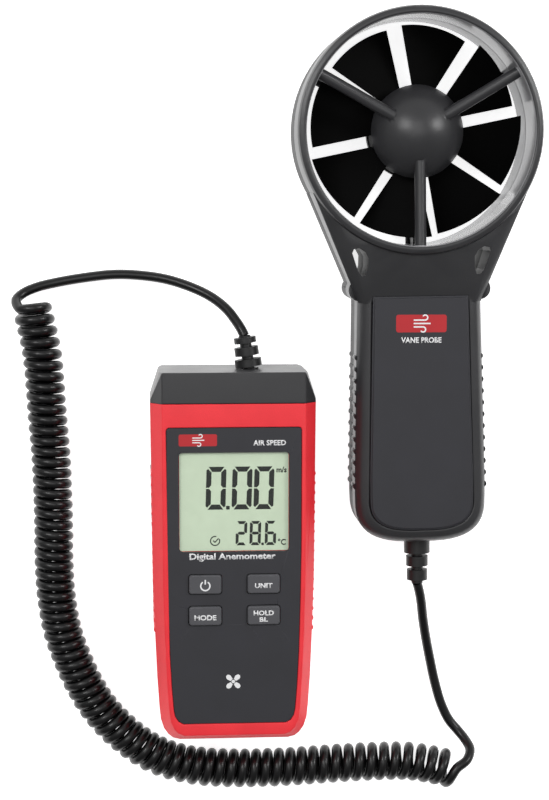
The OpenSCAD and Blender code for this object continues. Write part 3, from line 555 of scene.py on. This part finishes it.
def roundedOutline(cx, cy, w, h, r, steps=5):
    out = []
    for sx, sy, start in ((1, 1, 0), (-1, 1, 90), (-1, -1, 180), (1, -1, 270)):
        for k in range(steps + 1):
            a = math.radians(start + 90 * k / steps)
            out.append((cx + sx * (w / 2 - r) + r * math.cos(a),
                        cy + sy * (h / 2 - r) + r * math.sin(a)))
    return out


# the lit bars of one digit whose lower left corner is at x, y
def bars(char, x, y, size):
    w, h, t = size
    gap, half, cut, slant = 0.12 * t, h / 2, 0.3 * t, 0.03
    shapes = {
        "a": [(cut + gap, h), (t + gap, h - t), (w - t - gap, h - t), (w - cut - gap, h)],
        "d": [(t + gap, t), (cut + gap, 0), (w - cut - gap, 0), (w - t - gap, t)],
        "g": [(gap + t / 2, half), (t + gap, half - t / 2), (w - t - gap, half - t / 2),
              (w - gap - t / 2, half), (w - t - gap, half + t / 2), (t + gap, half + t / 2)],
        "f": [(0, half + gap), (t * 0.6, half + gap), (t, half + gap + t / 2), (t, h - t - gap),
              (cut, h - gap - cut), (0, h - gap - t * 0.6)],
        "e": [(0, gap + t * 0.6), (cut, gap + cut), (t, t + gap), (t, half - gap - t / 2),
              (t * 0.6, half - gap), (0, half - gap)],
    }
    shapes["b"] = [(w - px, py) for px, py in reversed(shapes["f"])]
    shapes["c"] = [(w - px, py) for px, py in reversed(shapes["e"])]
    out = []
    for bar in segmentBars[char]:
        out.append(anticlockwise([(x + px + slant * py, y + py) for px, py in shapes[bar]]))
    return out


# an open or closed ring band as short quads
def arcBand(cx, cy, r, width, start, end, steps=28):
    out = []
    for k in range(steps):
        a, b = (math.radians(start + (end - start) * (k + d) / steps) for d in (0, 1))
        out.append([(cx + (r - width / 2) * math.cos(a), cy + (r - width / 2) * math.sin(a)),
                    (cx + (r + width / 2) * math.cos(a), cy + (r + width / 2) * math.sin(a)),
                    (cx + (r + width / 2) * math.cos(b), cy + (r + width / 2) * math.sin(b)),
                    (cx + (r - width / 2) * math.cos(b), cy + (r - width / 2) * math.sin(b))])
    return out


# a poly-line drawn as a band
def stroke(points, width):
    out = []
    for (ax, ay), (bx, by) in zip(points, points[1:]):
        d = math.hypot(bx - ax, by - ay)
        nx, ny = -(by - ay) / d * width / 2, (bx - ax) / d * width / 2
        out.append([(ax - nx, ay - ny), (bx - nx, by - ny), (bx + nx, by + ny), (ax + nx, ay + ny)])
    return out


# printed words centred on cx, cy, their bottom at z and their full width as given, in mm
def wording(name, words, cx, cy, z, height, width, weight=0.03):
    text = bpy.data.curves.new(name, "FONT")
    text.body = words
    text.align_x = "CENTER"
    text.align_y = "CENTER"
    text.size = 1.0
    text.offset = weight
    text.resolution_u = 3
    holder = bpy.data.objects.new(name + "Curve", text)
    scene.collection.objects.link(holder)
    bpy.context.view_layer.update()
    mesh = bpy.data.meshes.new_from_object(holder.evaluated_get(bpy.context.evaluated_depsgraph_get()))
    bpy.data.objects.remove(holder)
    xs, ys = [v.co.x for v in mesh.vertices], [v.co.y for v in mesh.vertices]
    sx, sy = width / (max(xs) - min(xs)), height / (max(ys) - min(ys))
    mx, my = (max(xs) + min(xs)) / 2, (max(ys) + min(ys)) / 2
    bm = bmesh.new()
    bm.from_mesh(mesh)
    bmesh.ops.remove_doubles(bm, verts=bm.verts, dist=1e-5)
    for v in bm.verts:
        v.co = vec(cx + (v.co.x - mx) * sx, cy + (v.co.y - my) * sy, z)
    for face in bm.faces:
        if face.normal.z < 0:
            face.normal_flip()
    raised = bmesh.ops.extrude_face_region(bm, geom=list(bm.faces))
    bmesh.ops.translate(bm, verts=[v for v in raised["geom"] if isinstance(v, bmesh.types.BMVert)],
                        vec=(0, 0, inkThickness * mm))
    bmesh.ops.recalc_face_normals(bm, faces=bm.faces)
    out = bpy.data.meshes.new(name)
    bm.to_mesh(out)
    bm.free()
    piece = bpy.data.objects.new(name, out)
    scene.collection.objects.link(piece)
    return piece


# a node's centre seen from above, in mm
def middle(nodeName):
    lo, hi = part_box(nodeName)
    return (lo[0] + hi[0]) / 2 / mm, (lo[1] + hi[1]) / 2 / mm


def addDisplay():
    cx, cy = middle("display_window")
    lo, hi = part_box("display_window")
    w, h = (hi[0] - lo[0]) / mm, (hi[1] - lo[1]) / mm
    inset = display["filmInset"]
    sheet = roundedOutline(cx, cy, w - inset, h - inset, display["filmCorner"])
    film = prisms("display_film", [sheet], *display["film"])
    fit(film, "meter", "lcd_grey", lcdGreen)
    lit = []
    for char, x in display["bigDigits"]:
        lit += bars(char, cx + x, cy + display["bigY"], display["bigSize"])
    for char, x in display["smallDigits"]:
        lit += bars(char, cx + x, cy + display["smallY"], display["smallSize"])
    for x, size, y in ((display["bigDot"][0], display["bigDot"][1], display["bigY"]),
                       (display["smallDot"][0], display["smallDot"][1], display["smallY"])):
        lit.append(roundedOutline(cx + x + 0.05, cy + y + size / 2, size, size, 0.2 * size, 2))
    x, y, r = display["clock"]
    lit += arcBand(cx + x, cy + y, r, display["clockLine"], 75, 385)
    lit += stroke([(cx + x + dx, cy + y + dy) for dx, dy in display["hands"]], display["handLine"])
    fit(prisms("lit_segments", lit, *display["segments"]), "meter", "lcd_grey", lcdBlack)
    z = display["segments"][0]
    for name, words, (dx, dy, height, width) in (("speed_unit", "m/s", display["speedUnit"]),
                                                 ("heat_unit", "\u00b0C", display["heatUnit"])):
        fit(wording(name, words, cx + dx, cy + dy, z, height, width), "meter", "lcd_grey", lcdBlack)
    plate = roundedOutline(cx, cy, w, h, display["windowCorner"])
    pane = prisms("clear_window", [plate], *display["window"])
    edge = pane.modifiers.new("edge", "BEVEL")
    edge.width, edge.segments, edge.limit_method = display["windowEdge"] * mm, 2, "ANGLE"
    fit(pane, "meter", "window_clear", windowAcrylic, "display_window")


# keys with soft tops and printed legends
keys = {
    "size": (9.6, 5.7), "foot": (11.4, 7.5), "footZ": (24.6, 25.3), "top": 28.62, "corner": 0.9,
    "edge": 0.45, "legendZ": 28.63, "legendWeight": 0.035, "sunk": 0.2, "footCorner": 1.0,
    # the power sign: an open ring and a bar that stands in its gap
    "powerLine": 0.42, "powerRing": (-0.35, 1.35, 122, 418), "powerBar": (0.1, 1.5),
    # piece, words, width, place above the key's centre, height
    "legends": {
        "unit": [("unit_legend", "UNIT", 5.2, -0.45, 1.5)],
        "mode": [("mode_legend", "MODE", 6.5, -0.45, 1.6)],
        "hold": [("hold_legend", "HOLD", 6.0, 0.75, 1.5), ("light_legend", "BL", 2.5, -1.2, 1.3)],
    },
}


def addKeys():
    for name in ("power", "unit", "mode", "hold"):
        cx, cy = middle("button_" + name)
        body = name + "_button"
        w, h = keys["size"]
        cap = prisms(name + "_key_cap", [roundedOutline(cx, cy, w, h, keys["corner"])],
                     keys["footZ"][1] - keys["sunk"], keys["top"])
        soft = cap.modifiers.new("edge", "BEVEL")
        soft.width, soft.segments, soft.limit_method = keys["edge"] * mm, 4, "ANGLE"
        soft.angle_limit = math.radians(40)
        smooth(cap, 40)
        fit(cap, body, "button_rubber", keySilicone, "button_" + name)
        flange = roundedOutline(cx, cy, *keys["foot"], keys["footCorner"])
        foot = prisms(name + "_key_foot", [flange], *keys["footZ"])
        fit(foot, body, "button_rubber", keySilicone)
        z = keys["legendZ"]
        if name == "power":
            line = keys["powerLine"]
            dy, radius, start, end = keys["powerRing"]
            marks = arcBand(cx, cy + dy, radius, line, start, end)
            marks += stroke([(cx, cy + dy) for dy in keys["powerBar"]], line)
            fit(prisms("power_legend", marks, z, z + inkThickness), body, "white_plastic", whiteInk)
        for pieceName, words, width, dy, height in keys["legends"].get(name, []):
            legend = wording(pieceName, words, cx, cy + dy, z, height, width, keys["legendWeight"])
            fit(legend, body, "white_plastic", whiteInk)


# three drifting lines that curl at their ends; sizes in mm at scale 1
wind = {"start": -2.6, "line": 0.42, "lines": [(1.0, 3.4, 0.75), (0.0, 5.0, 0.0), (-1.0, 2.8, -0.75)]}


def windMark(cx, cy, scale):
    out = []
    left, line = cx + wind["start"] * scale, wind["line"] * scale
    for dy, length, curl in wind["lines"]:
        y, right = cy + dy * scale, left + length * scale
        out += stroke([(left, y), (right, y)], line)
        if curl:
            start, end = (-90, 150) if curl > 0 else (90, -150)
            out += arcBand(right, y + curl * scale, abs(curl) * scale, line, start, end, 14)
    return [anticlockwise(outline) for outline in out]


# a red patch, then a white sign printed over it
def badge(body, patchName, signName, patch, patchCorner, sign, z):
    cx, cy, w, h = patch
    outline = roundedOutline(cx, cy, w, h, patchCorner)
    fit(prisms(patchName, [outline], z, z + inkThickness), body, "red_plastic", redInk)
    z += inkThickness + inkLift
    fit(prisms(signName, windMark(*sign), z, z + inkThickness), body, "white_plastic", whiteInk)


# places across and up from the window's centre, or from the middle of the handle panel's top edge
printing = {
    # across, up, height, width
    "caption": (-0.5, -16.3, 2.5, 25.4), "speedWords": (10.4, 17.5, 1.6, 9.6),
    "probeWords": (-0.6, -13.1, 1.7, 12.0),
    # across, up, width, height; then the corner, and the sign's place and scale
    "meterPatch": (-10.6, 18.4, 11.2, 3.5), "meterCorner": 0.5, "meterSign": (-10.4, 18.4, 0.7),
    "probePatch": (-0.6, -8.2, 15.0, 5.2), "probeCorner": 0.7, "probeSign": (-0.3, -8.2, 1.0),
    "fan": (-0.4, -53.6, 3.0),
}


# a named place moved to its origin, with the sizes that follow it
def placed(key, x, y):
    dx, dy, *sizes = printing[key]
    return (x + dx, y + dy, *sizes)


def printWords(body, pieceName, words, place, z):
    x, y, height, width = place
    fit(wording(pieceName, words, x, y, z, height, width), body, "white_plastic", whiteInk)


def addPrinting():
    cx, cy = middle("display_window")
    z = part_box("display_window")[1][2] / mm + inkLift
    printWords("meter", "caption", "Digital Anemometer", placed("caption", cx, cy), z)
    badge("meter", "wind_patch", "wind_sign", placed("meterPatch", cx, cy), printing["meterCorner"],
          placed("meterSign", cx, cy), z)
    printWords("meter", "speed_words", "AIR SPEED", placed("speedWords", cx, cy), z)
    fan = prisms("fan_sign", fanMark(*placed("fan", cx, cy)), z, z + inkThickness)
    fit(fan, "meter", "white_plastic", whiteInk)


# curved blades round a small boss; lengths are shares of the sign's size, angles are degrees
fanShape = {"blades": 4, "firstAngle": 20, "boss": 0.34, "root": 0.24, "rootArc": 46,
            "edge": 0.28, "swell": 0.62, "fullness": 0.6, "start": -6, "step": 8, "steps": 8}


def fanMark(cx, cy, size):
    boss, root = size * fanShape["boss"], size * fanShape["root"]
    out = [roundedOutline(cx, cy, boss, boss, boss / 2, 4)]
    for k in range(fanShape["blades"]):
        turn = math.radians(360 / fanShape["blades"] * k + fanShape["firstAngle"])
        outline = []
        for t in range(fanShape["steps"] + 1):
            bulge = math.sin(math.pi * t / fanShape["steps"]) ** fanShape["fullness"]
            r = size * (fanShape["edge"] + fanShape["swell"] * bulge)
            a = turn + math.radians(fanShape["start"] + fanShape["step"] * t)
            outline.append((cx + r * math.cos(a), cy + r * math.sin(a)))
        for a in (turn + math.radians(fanShape["rootArc"]), turn):
            outline.append((cx + root * math.cos(a), cy + root * math.sin(a)))
        out.append(anticlockwise(outline))
    return out


def addProbePrinting():
    lo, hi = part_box("handle_panel")
    cx, top, z = (lo[0] + hi[0]) / 2 / mm, hi[1] / mm, hi[2] / mm
    z += inkLift
    badge("probe", "probe_patch", "probe_sign", placed("probePatch", cx, top), printing["probeCorner"],
          placed("probeSign", cx, top), z)
    printWords("probe", "probe_words", "VANE PROBE", placed("probeWords", cx, top), z)


addDisplay()
addKeys()
addPrinting()
print("display, keys and printing")


# what repeats: one loose part of a node, set down again at each of its places
repeats = [
    ("case_screws", "housing_screws", "meter", "steel", platedSteel),
    ("board_screws", "small_screws", "meter", "steel", platedSteel),
    ("probe_screws", "handle_screws", "probe", "steel", platedSteel),
    ("rotor_magnets", "drum_magnets", "vane", "magnet", nickelPlate),
]


# the loose parts of a mesh, from left to right
def islands(bm):
    left, out = set(bm.verts), []
    while left:
        todo, found = [left.pop()], []
        while todo:
            v = todo.pop()
            found.append(v)
            for edge in v.link_edges:
                other = edge.other_vert(v)
                if other in left:
                    left.discard(other)
                    todo.append(other)
        out.append(found)
    return sorted(out, key=lambda part: tuple(round(min(v.co[k] for v in part), 5) for k in (0, 1)))


# Geometry Nodes: one part at every point, made real and given its material
def placesTree():
    tree = bpy.data.node_groups.new("setDownAgain", "GeometryNodeTree")
    face = tree.interface
    sockets = {
        name: face.new_socket(name, in_out=side, socket_type="NodeSocket" + kind)
        for name, side, kind in (("Places", "INPUT", "Geometry"), ("Part", "INPUT", "Object"),
                                 ("Finish", "INPUT", "Material"), ("Geometry", "OUTPUT", "Geometry"))
    }
    given = addNode(tree, "NodeGroupInput")
    part = addNode(tree, "GeometryNodeObjectInfo", {"Object": given.outputs["Part"]})
    copies = addNode(tree, "GeometryNodeInstanceOnPoints",
                     {"Points": given.outputs["Places"], "Instance": part.outputs["Geometry"]})
    real = addNode(tree, "GeometryNodeRealizeInstances", {"Geometry": copies.outputs["Instances"]})
    done = addNode(tree, "GeometryNodeSetMaterial",
                   {"Geometry": real.outputs["Geometry"], "Material": given.outputs["Finish"]})
    addNode(tree, "NodeGroupOutput", {"Geometry": done.outputs["Geometry"]})
    return tree, sockets


def addRepeated(nodeName, pieceName, body, slotName, material, tree, sockets):
    bm = bmesh.new()
    bm.from_mesh(nodes[nodeName].data)
    bmesh.ops.remove_doubles(bm, verts=bm.verts, dist=weld * mm)
    parts = islands(bm)
    centres = []
    for part in parts:
        lo = Vector([min(v.co[k] for v in part) for k in range(3)])
        hi = Vector([max(v.co[k] for v in part) for k in range(3)])
        centres.append((lo + hi) / 2)
    extra = [v for part in parts[1:] for v in part]
    bmesh.ops.delete(bm, geom=extra, context="VERTS")
    bmesh.ops.translate(bm, verts=bm.verts, vec=-centres[0])
    single = bpy.data.meshes.new(pieceName + "Single")
    bm.to_mesh(single)
    bm.free()
    partObject = bpy.data.objects.new(pieceName + "Single", single)
    scene.collection.objects.link(partObject)
    smooth(partObject, 35)
    piece = addMesh(pieceName, centres, [])
    made = piece.modifiers.new("places", "NODES")
    made.node_group = tree
    made[sockets["Part"].identifier] = partObject
    made[sockets["Finish"].identifier] = material
    bpy.context.view_layer.update()
    graph = bpy.context.evaluated_depsgraph_get()
    baked = bpy.data.meshes.new_from_object(piece.evaluated_get(graph))
    piece.modifiers.remove(made)
    piece.data = baked
    bpy.data.objects.remove(partObject)
    fit(piece, body, slotName, material, nodeName)
    print(pieceName, len(centres), "parts,", len(baked.polygons), "faces")


group, groupSockets = placesTree()
for nodeName, pieceName, body, slotName, material in repeats:
    addRepeated(nodeName, pieceName, body, slotName, material, group, groupSockets)


# the model's own nodes and their finishes
finishes = {
    "meter_front_shell": redAbs, "meter_rear_shell": blackAbs, "meter_top_cap": charcoalAbs,
    "front_panel": printedPanel, "display_window": windowAcrylic, "lcd_glass": lcdGreen,
    "lcd_frame": whitePolycarbonate, "lcd_backlight": whitePolycarbonate,
    "zebra_strip": zebraElastomer, "main_board": solderMask, "board_chips": chipEpoxy,
    "key_switches": platedSteel, "buzzer": chipEpoxy, "battery_cells": cellWrap,
    "battery_springs": platedSteel, "battery_plates": platedSteel, "battery_cover": blackAbs,
    "case_screws": platedSteel, "board_screws": platedSteel, "meter_boot": bootRubber,
    "meter_wires": wireSleeve, "button_power": keySilicone, "button_unit": keySilicone,
    "button_mode": keySilicone, "button_hold": keySilicone, "plunger_power": chipEpoxy,
    "plunger_unit": chipEpoxy, "plunger_mode": chipEpoxy, "plunger_hold": chipEpoxy,
    "cord_lead_meter": cordPolyurethane, "cord_coil": cordPolyurethane,
    "cord_lead_probe": cordPolyurethane, "probe_front_shell": charcoalAbs,
    "probe_rear_shell": blackAbs, "handle_panel": printedPanel, "front_bearing": sinteredBronze,
    "rear_bearing": sinteredBronze, "pickup_board": solderMask, "thermistor": chipEpoxy,
    "probe_board": solderMask, "probe_chips": chipEpoxy, "probe_wires": wireSleeve,
    "probe_screws": platedSteel, "probe_boot": bootRubber, "vane_rotor": bladeBlack,
    "rotor_shaft": platedSteel, "rotor_magnets": nickelPlate,
}
for name, material in finishes.items():
    paint(nodes[name], material)
for node, piece, body, slotName, material, width, above, below in shells:
    fit(softened(node, piece, width, above=above, below=below), body, slotName, material, node)
addProbePrinting()
print("finishes and softened shells")
